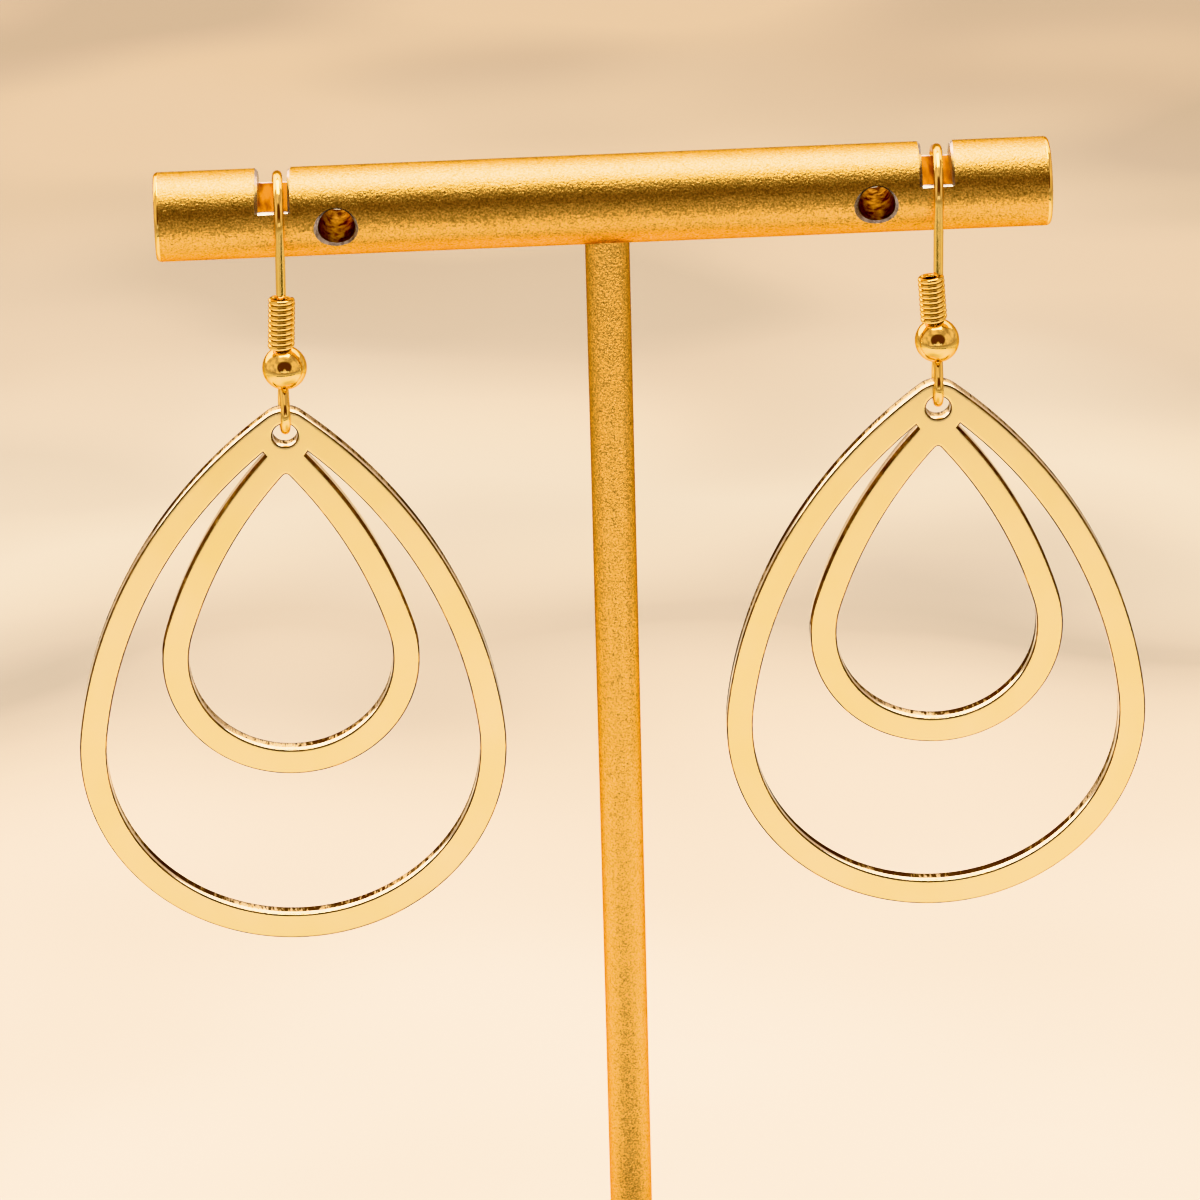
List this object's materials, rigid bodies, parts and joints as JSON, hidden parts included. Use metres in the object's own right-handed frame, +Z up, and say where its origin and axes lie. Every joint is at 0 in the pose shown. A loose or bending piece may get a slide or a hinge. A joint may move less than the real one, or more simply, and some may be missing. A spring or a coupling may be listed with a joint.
{
  "type": "pair of drop earrings on a t-bar display stand",
  "caption": "Drop earrings with an open teardrop ring inside a larger one, each hanging from a fish-hook ear wire with a coil and a bead, on a T-bar stand with a round base.",
  "frame": {"origin": "centre of the base's underside, where the stand rests", "axes": "+Z up along the rod, X along the bar, -Y the front, where the earrings hang"},
  "size_m": [0.0737, 0.05, 0.1031],
  "materials": {
    "blasted_gold": "fine blasted matte gold plating",
    "polished_gold": "polished gold plating",
    "stamped_gold": "smooth satin gold plating, with brighter cut edges"
  },
  "bodies": {
    "stand": {"stand_base": "blasted_gold", "stand_tee": "blasted_gold", "left_ear_hook": "polished_gold", "left_coil": "polished_gold", "left_bead": "polished_gold", "right_ear_hook": "polished_gold", "right_coil": "polished_gold", "right_bead": "polished_gold"},
    "left_drop": {"left_drop": "stamped_gold"},
    "right_drop": {"right_drop": "stamped_gold"}
  },
  "joints": [
    {"name": "left_swing", "type": "hinge", "parent": "stand", "child": "left_drop", "pos_m": [-0.02225, -0.0034, 0.08688], "axis": [0.9974, 0.0698, -0.0191], "range_deg": [-90, 90]},
    {"name": "right_swing", "type": "hinge", "parent": "stand", "child": "right_drop", "pos_m": [0.02203, -0.0034, 0.08688], "axis": [0.9996, -0.0262, -0.007], "range_deg": [-90, 90]}
  ]
}
